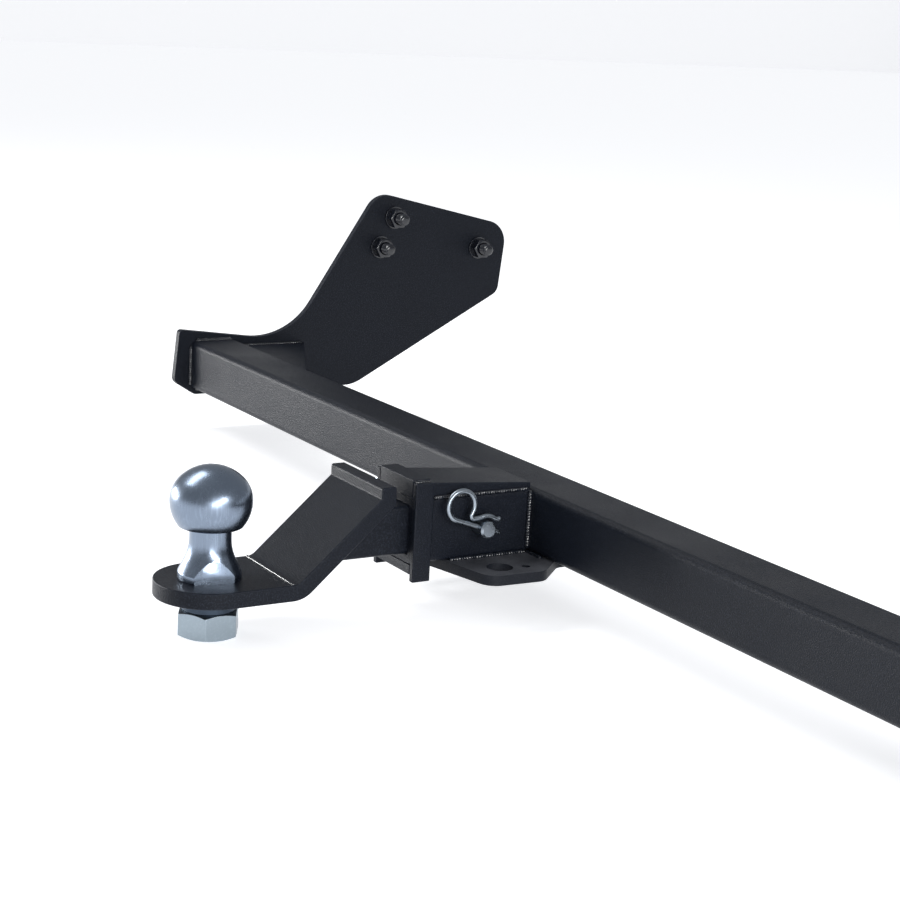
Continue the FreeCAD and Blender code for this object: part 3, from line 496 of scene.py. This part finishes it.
class TOWBAR_OT_ball(BarOperator, bpy.types.Operator):
    """Turns the tow ball with its neck, flare, flange and wrench flats"""
    bl_idname = "towbar.ball"
    bl_label = "Tow ball"

    def build(self):
        low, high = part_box("tow_ball")
        ball, crown, shoulder, underside = 29.35 * MM, high[2], 22.85 * MM, -18.3 * MM
        neck, flare_top, flange, seat, rim = 15 * MM, -35.5 * MM, 22.75 * MM, -56.5 * MM, 5 * MM
        stud, flare_round = 13.5 * MM, 35 * MM
        inset = ball - shoulder
        drop = (inset ** 2 - (crown - shoulder) ** 2) / (2 * (crown - shoulder))
        split = math.degrees(math.atan2(drop, inset))
        rim_angle = math.degrees(math.asin(underside / ball))
        points = arc_points((0, -drop), crown + drop, 90, split, 16)
        points += arc_points((inset, 0), shoulder, split, 0, 20)[1:]
        points += arc_points((0, 0), ball, 0, rim_angle + 1.0, 20)[1:]
        corner, root = points[-1], 1.2 * MM
        points += [(corner[0] - 0.5 * MM, underside + 0.08 * MM), (corner[0] - 1.0 * MM, underside)]
        points += arc_points((neck + root, underside - root), root, 90, 180, 5)
        lean = math.degrees(math.atan((flange - neck) / (flare_top - seat - rim)))
        tangent = flare_round * math.tan(math.radians(lean) / 2)
        points += arc_points((neck + flare_round, flare_top + tangent), flare_round, 180, 180 + lean, 14)
        last, cone_steps = points[-1], 8
        for index in range(1, cone_steps):
            points.append((last[0] + (flange - last[0]) * index / cone_steps,
                           last[1] + (seat + rim - last[1]) * index / cone_steps))
        points.append((flange - 0.15 * MM, seat + rim + 0.3 * MM))
        points += [(flange, seat + rim - 0.4 * MM), (flange, seat + 0.5 * MM), (flange - 0.5 * MM, seat),
                   (stud, seat), (stud, low[2] + root), (stud - root, low[2]), (0, low[2])]
        bm = turned_profile(points, sizes().turned_steps * 2)
        self.cut_flats(bm, math.radians(-12.5), 17.5 * MM, seat - 0.1 * MM, flare_top)
        settle(bm, "tow_ball_turned", "bar", "Polished ball", ("tow_ball",), False)

    def cut_flats(self, bm, turn, distance, low, high):
        """Cuts two crisp wrench flats across the flange and the flare."""
        for sign in (1, -1):
            out = Vector((sign * math.cos(turn), sign * math.sin(turn), 0))
            faces = [face for face in bm.faces if all(low < vert.co.z < high for vert in face.verts)]
            reach = list({item for face in faces for item in (face, *face.edges, *face.verts)})
            cut = bmesh.ops.bisect_plane(bm, geom=reach, dist=0.001 * MM, plane_co=out * distance,
                                         plane_no=out, clear_outer=True)["geom_cut"]
            edges = [item for item in cut if isinstance(item, bmesh.types.BMEdge)]
            flat = bmesh.ops.holes_fill(bm, edges=edges, sides=0)["faces"]
            if not flat:
                raise RuntimeError("the wrench flat isn't closed")


class TOWBAR_OT_ball_fasteners(BarOperator, bpy.types.Operator):
    """Makes the washers and the nut under the ball"""
    bl_idname = "towbar.ball_fasteners"
    bl_label = "Ball nut and washers"

    def build(self):
        dress_plate("ball_washer", "bar", "Dark zinc", 0.5 * MM)
        dress_plate("spring_washer", "bar", "Dark zinc", 0.7 * MM)
        low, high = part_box("ball_nut")
        width, bore, turned_off = 41 * MM, 13.8 * MM, 19.7 * MM
        bm = turned_hexagon([
            (bore, low[2] + 1.3 * MM), (bore + 1.3 * MM, low[2]), (turned_off, low[2]),
            ("low", low[2]), ("high", high[2]), (turned_off, high[2]), (bore, high[2]),
        ], width, 96, True)
        turn = Matrix.Rotation(math.radians(31), 3, "Z")
        bmesh.ops.rotate(bm, verts=bm.verts, cent=(0, 0, 0), matrix=turn)
        round_sharp(bm, 0.35 * MM, 50, 2)
        settle(bm, "ball_nut_turned", "bar", "Nut zinc", ("ball_nut",))


class TOWBAR_OT_pin(BarOperator, bpy.types.Operator):
    """Makes the hitch pin and its clip"""
    bl_idname = "towbar.pin"
    bl_label = "Hitch pin and clip"

    def build(self):
        dress_plate("hitch_pin", "pin", "Bright zinc", 0.4 * MM)
        flat = [Vector((13.99 * MM, 0)), Vector((13.6 * MM, 0)), Vector((13 * MM, 0))]
        foot, leave, leg_steps = Vector((-26 * MM, 0)), Vector((-15.1 * MM, 8.1 * MM)), 13
        for index in range(1, leg_steps + 1):
            flat.append(flat[2].lerp(foot, index / leg_steps))
        arc, heading = tangent_arc(foot, Vector((-1, 0)), leave, 44)
        flat += arc
        for end, count in (((-11.9, 4.8), 12), ((-5.2, 7.8), 8), ((5.0, 9.3), 12), ((10.6, 11.0), 10)):
            arc, heading = tangent_arc(flat[-1], heading, Vector(end) * MM, count)
            flat += arc
        lean = Matrix.Rotation(-CLIP_LEAN, 4, "X")
        path = [CLIP_CENTRE + lean @ Vector((0, point.x, point.y)) for point in flat]
        bm = bmesh.new()
        wire(bm, path, 2 * MM)
        settle(bm, "r_clip_wire", "clip", "Bright zinc", ("r_clip",), False)


class TOWBAR_OT_arm_fasteners(BarOperator, bpy.types.Operator):
    """Makes the bolts, washers and nuts of the arm plates"""
    bl_idname = "towbar.arm_fasteners"
    bl_label = "Arm bolts, washers and nuts"

    def build(self):
        plate, head, washer, nut, free = (v * MM for v in (8, 7.5, 2.5, 10, 12.5))
        width, shank, turned_off = 19 * MM, 6 * MM, 9.1 * MM
        dome_rise, dome_radius, depth = 1.9 * MM, shank - 0.7 * MM, 0.95 * MM
        end = washer + nut + free
        for side, sign in LEFT_RIGHT:
            dress_plate("arm_washers_" + side, "bar", "Bolt black", 0.3 * MM)
            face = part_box("cross_beam")[1][0]
            lay = Matrix(((0, 0, -sign, sign * face), (1, 0, 0, 0), (0, -sign, 0, 0), (0, 0, 0, 1)))
            bolts, nuts = bmesh.new(), bmesh.new()
            thread_low, thread_high = washer + nut + 0.2 * MM, end - dome_rise - 0.2 * MM
            rings = 48
            dome = [(dome_radius * across, end - dome_rise + dome_rise * up)
                    for across, up in arc_points((0, 0), 1, 0, 90, 8)]
            dome[-1] = (0, end)
            shank_points = [(shank, thread_low + (thread_high - thread_low) * i / rings)
                            for i in range(rings + 1)]
            for y, z in BOLT_PLACES:
                place = Matrix.Translation((0, y, z)) @ lay
                bolt = turned_hexagon(
                    [(0, -plate - head), (turned_off, -plate - head), ("low", -plate - head),
                     ("plain", -plate), (shank, -plate)] + shank_points
                    + dome, width, 48, False)
                cut_thread(bolt, shank, thread_low, thread_high + 0.2 * MM, sizes().thread_pitch, depth)
                nut_block = turned_hexagon(
                    [(shank + 0.3 * MM, washer), (turned_off, washer), ("low", washer),
                     ("high", washer + nut), (turned_off, washer + nut),
                     (shank + 1.1 * MM, washer + nut), (shank + 0.3 * MM, washer + nut - 0.8 * MM)],
                    width, 48, True)
                round_sharp(nut_block, 0.2 * MM, 50, 2)
                for block, group in ((bolt, bolts), (nut_block, nuts)):
                    bmesh.ops.transform(block, matrix=place, verts=block.verts)
                    part = bpy.data.meshes.new("fastener")
                    block.to_mesh(part)
                    block.free()
                    group.from_mesh(part)
                    bpy.data.meshes.remove(part)
            settle(bolts, "arm_bolts_%s_threaded" % side, "bar", "Bolt black", ("arm_bolts_" + side,),
                   False)
            settle(nuts, "arm_nuts_%s_turned" % side, "bar", "Bolt black", ("arm_nuts_" + side,))


class TOWBAR_OT_welds(BarOperator, bpy.types.Operator):
    """Lays the weld beads between the plates"""
    bl_idname = "towbar.welds"
    bl_label = "Weld beads"

    def build(self):
        beam_low, beam_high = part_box("cross_beam")
        tube_low, tube_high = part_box("receiver_tube")
        plate_low, plate_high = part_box("chain_plate")
        collar_low, collar_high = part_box("collar_top_bar")
        thin = 1.7 * MM

        bm = bmesh.new()
        for sign in (-1, 1):
            side = sign * tube_high[0]
            inset = 0.4 * MM
            edge = side + sign * inset
            bead(bm, (edge, tube_high[1] - inset, tube_low[2] + 3 * MM),
                 (edge, tube_high[1] - inset, tube_high[2] - 2 * MM), seed=sign)
            bead(bm, (edge, collar_high[1] + 3 * MM, tube_high[2]),
                 (edge, tube_high[1] - 3 * MM, tube_high[2]), thin, 2 + sign)
            bead(bm, (edge, plate_low[1] + 9 * MM, tube_low[2] + inset),
                 (edge, tube_high[1] - 2 * MM, tube_low[2] + inset), 2.0 * MM, 4 + sign)
            bead(bm, (edge, collar_high[1] + inset, tube_low[2] + 4 * MM),
                 (edge, collar_high[1] + inset, tube_high[2] - 4 * MM), 1.9 * MM, 6 + sign)
            bead(bm, (sign * 26 * MM, tube_high[1] - inset, tube_low[2]),
                 (sign * 46 * MM, tube_high[1] - inset, tube_low[2]), 2.0 * MM, 8 + sign)
            bead(bm, (side, collar_low[1] + 1.1 * MM, collar_high[2] - 2 * MM),
                 (side, collar_high[1] - 1 * MM, collar_high[2] - 2 * MM), thin, 9 + sign)
        bead(bm, (-20 * MM, tube_high[1] - 0.5 * MM, beam_high[2] + 2.5 * MM),
             (20 * MM, tube_high[1] - 0.5 * MM, beam_high[2] + 2.5 * MM), thin, 3)
        settle(bm, "receiver_welds", "bar", "Weld paint", even=False)

        bm = bmesh.new()
        shank_low, shank_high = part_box("shank_bar")
        for sign in (-1, 1):
            side = sign * (shank_high[0] + 0.3 * MM)
            bead(bm, (side, shank_low[1] - 0.3 * MM, shank_low[2] + 1 * MM),
                 (side, shank_low[1] + 41.5 * MM, shank_high[2] - 1 * MM), 2.2 * MM, 1 + sign)
        for height, along in ((shank_low[2] - 0.2 * MM, shank_low[1]),
                              (shank_high[2] + 0.2 * MM, shank_low[1] + 42 * MM)):
            bead(bm, (-16 * MM, along, height), (16 * MM, along, height), 2.0 * MM, 5)
        settle(bm, "tongue_welds", "bar", "Weld paint", even=False)

        tongue_high, plate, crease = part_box("tongue_plate")[1], 12 * MM, 0.9 * MM
        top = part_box("ball_washer")[1][2] + plate
        bend = max(vert.co.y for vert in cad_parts["tongue_plate"].data.vertices
                   if abs(vert.co.z - top) < 0.02 * MM)
        bm = bmesh.new()
        bmesh.ops.create_cone(bm, cap_ends=True, segments=16, radius1=crease, radius2=crease,
                              depth=tongue_high[0] * 2 - 2 * MM,
                              matrix=Matrix.Translation((0, bend, top + 0.1 * MM))
                              @ Matrix.Rotation(math.pi / 2, 4, "Y"))
        settle(bm, "bend_crease", "bar", "Bolt black", even=False)

        for side, sign in LEFT_RIGHT:
            bm = bmesh.new()
            end = sign * (beam_high[0] - 0.4 * MM)
            for y in (beam_low[1] - 0.2 * MM, beam_high[1] + 0.2 * MM):
                bead(bm, (end, y, beam_low[2] + 4 * MM), (end, y, beam_high[2] - 5 * MM), seed=2 + sign)
            for z in (beam_low[2] - 0.2 * MM, beam_high[2] + 0.2 * MM):
                bead(bm, (end, beam_low[1] + 5 * MM, z), (end, beam_high[1] - 5 * MM, z), seed=5 + sign)
            gusset_low, gusset_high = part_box("gusset_" + side)
            top = gusset_high[2]
            tip = sign * 452 * MM
            bead(bm, (end - sign * 8 * MM, beam_high[1] + 0.3 * MM, top),
                 (tip, beam_high[1] + 0.3 * MM, top), 1.9 * MM, 7 + sign)
            bead(bm, (end, beam_high[1] + 8 * MM, top), (end, gusset_high[1] - 4 * MM, top),
                 1.9 * MM, 9 + sign)
            settle(bm, "arm_welds_" + side, "bar", "Weld paint", even=False)


class TOWBAR_OT_stage(BarOperator, bpy.types.Operator):
    """Sets the floor, the lamps, the world and the camera"""
    bl_idname = "towbar.stage"
    bl_label = "Floor, light and camera"

    def build(self):
        scene = bpy.context.scene
        low, reach, wall = CAD_BOX[0][2], 12, 1.2
        bm = bmesh.new()
        bmesh.ops.create_grid(bm, x_segments=1, y_segments=1, size=reach,
                              matrix=Matrix.Translation((0, 0.3, low)))
        rim = [edge for edge in bm.edges if edge.is_boundary]
        raised = bmesh.ops.extrude_edge_only(bm, edges=rim)["geom"]
        bmesh.ops.translate(bm, verts=[item for item in raised if isinstance(item, bmesh.types.BMVert)],
                            vec=(0, 0, wall))
        bmesh.ops.recalc_face_normals(bm, faces=bm.faces)
        mesh = bpy.data.meshes.new("floor")
        bm.to_mesh(mesh)
        bm.free()
        floor = bpy.data.objects.new("floor", mesh)
        scene.collection.objects.link(floor)
        mesh.materials.append(self.floor_material())
        self.world(scene)
        self.lamps(scene)
        self.camera(scene)
        scene.view_settings.view_transform = "Standard"

    def floor_material(self):
        material = bpy.data.materials.new("Pale floor")
        material.use_nodes = True
        tree = material.node_tree
        shader = tree.nodes["Principled BSDF"]
        shader.inputs["Base Color"].default_value = (*colours().floor, 1)
        shader.inputs["Roughness"].default_value = 0.9
        shader.inputs["Specular IOR Level"].default_value = 0.1
        shader.inputs["Emission Strength"].default_value = 0.60
        path = add_node(tree, "ShaderNodeLightPath")
        seen = add_node(tree, "ShaderNodeMath", {0: path.outputs["Is Camera Ray"],
                                                 1: path.outputs["Is Glossy Ray"]}, operation="MAXIMUM")
        through = add_node(tree, "ShaderNodeMath", {0: seen.outputs[0],
                                                    1: path.outputs["Is Transmission Ray"]},
                           operation="MAXIMUM")
        glow = add_node(tree, "ShaderNodeMix", {"Factor": through.outputs[0]}, data_type="RGBA")
        glow.inputs[6].default_value = (0, 0, 0, 1)
        glow.inputs[7].default_value = (0.97, 0.98, 1.0, 1)
        tree.links.new(glow.outputs[2], shader.inputs["Emission Color"])
        return material

    def world(self, scene):
        world = bpy.data.worlds.new("Studio")
        scene.world = world
        world.use_nodes = True
        tree = world.node_tree
        back = tree.nodes["Background"]
        back.inputs["Color"].default_value = (0.95, 0.97, 1.0, 1)
        back.inputs["Strength"].default_value = 0.40

    def lamps(self, scene):
        for name, power, wide, tall, spread, place, aim, along in (
            ("high_lamp", 30, 1.8, 0.9, 180, (-1.3, -0.7, 2.1), (0, 0.15, 0), (0, 1, 0)),
            ("left_lamp", 80, 1.4, 0.35, 180, (-2.7, -1.6, 0.16), (-0.2, 0.2, 0), (0.5, -0.86, 0)),
            ("front_lamp", 24, 1.5, 0.32, 180, (1.75, 0.0, 0.42), (0, 0.05, -0.02), (-0.17, 0.9, 0.4)),
        ):
            lamp = bpy.data.lights.new(name, "AREA")
            lamp.energy = power
            lamp.shape = "RECTANGLE"
            lamp.size = wide
            lamp.size_y = tall
            lamp.spread = math.radians(spread)
            item = bpy.data.objects.new(name, lamp)
            scene.collection.objects.link(item)
            item.location = place
            out = (Vector(place) - Vector(aim)).normalized()
            across = (Vector(along) - out * out.dot(Vector(along))).normalized()
            item.rotation_euler = Matrix((across, out.cross(across), out)).transposed().to_euler()

    def camera(self, scene):
        azimuth, elevation, roll = (math.radians(v) for v in (58.47, 13.06, 3.1))
        out = Vector((math.sin(azimuth) * math.cos(elevation), -math.cos(azimuth) * math.cos(elevation),
                      math.sin(elevation)))
        across = (-out).cross(Vector((0, 0, 1))).normalized()
        upward = across.cross(-out)
        rolled = across * math.cos(roll) + upward * math.sin(roll)
        raised = upward * math.cos(roll) - across * math.sin(roll)
        lens = bpy.data.cameras.new("camera")
        lens.lens = 78.1
        lens.sensor_width = 36
        camera = bpy.data.objects.new("camera", lens)
        scene.collection.objects.link(camera)
        turned = Matrix((rolled, raised, out)).transposed().to_4x4()
        camera.matrix_world = Matrix.Translation((1.2157, -0.5519, 0.3526)) @ turned
        scene.camera = camera


class TOWBAR_PT_panel(bpy.types.Panel):
    bl_idname = "TOWBAR_PT_panel"
    bl_label = "Tow bar"
    bl_space_type = "VIEW_3D"
    bl_region_type = "UI"
    bl_category = "Tow bar"

    def draw(self, context):
        layout = self.layout
        for group in (context.scene.tow_bar_sizes, context.scene.tow_bar_colours):
            for name in group.__annotations__:
                layout.prop(group, name)
        for step in STEPS:
            layout.operator(step.bl_idname)


STEPS = (
    TOWBAR_OT_plates, TOWBAR_OT_ball, TOWBAR_OT_ball_fasteners, TOWBAR_OT_pin,
    TOWBAR_OT_arm_fasteners, TOWBAR_OT_welds, TOWBAR_OT_stage,
)
CLASSES = (TowBarSizes, TowBarColours) + STEPS + (TOWBAR_PT_panel,)


def register():
    for item in CLASSES:
        bpy.utils.register_class(item)
    bpy.types.Scene.tow_bar_sizes = PointerProperty(type=TowBarSizes)
    bpy.types.Scene.tow_bar_colours = PointerProperty(type=TowBarColours)


def unregister():
    del bpy.types.Scene.tow_bar_colours
    del bpy.types.Scene.tow_bar_sizes
    for item in reversed(CLASSES):
        bpy.utils.unregister_class(item)


def main():
    register()
    bpy.ops.towbar.plates()
    bpy.ops.towbar.ball()
    bpy.ops.towbar.ball_fasteners()
    bpy.ops.towbar.pin()
    bpy.ops.towbar.arm_fasteners()
    bpy.ops.towbar.welds()
    bpy.ops.towbar.stage()


if __name__ == "__main__":
    main()
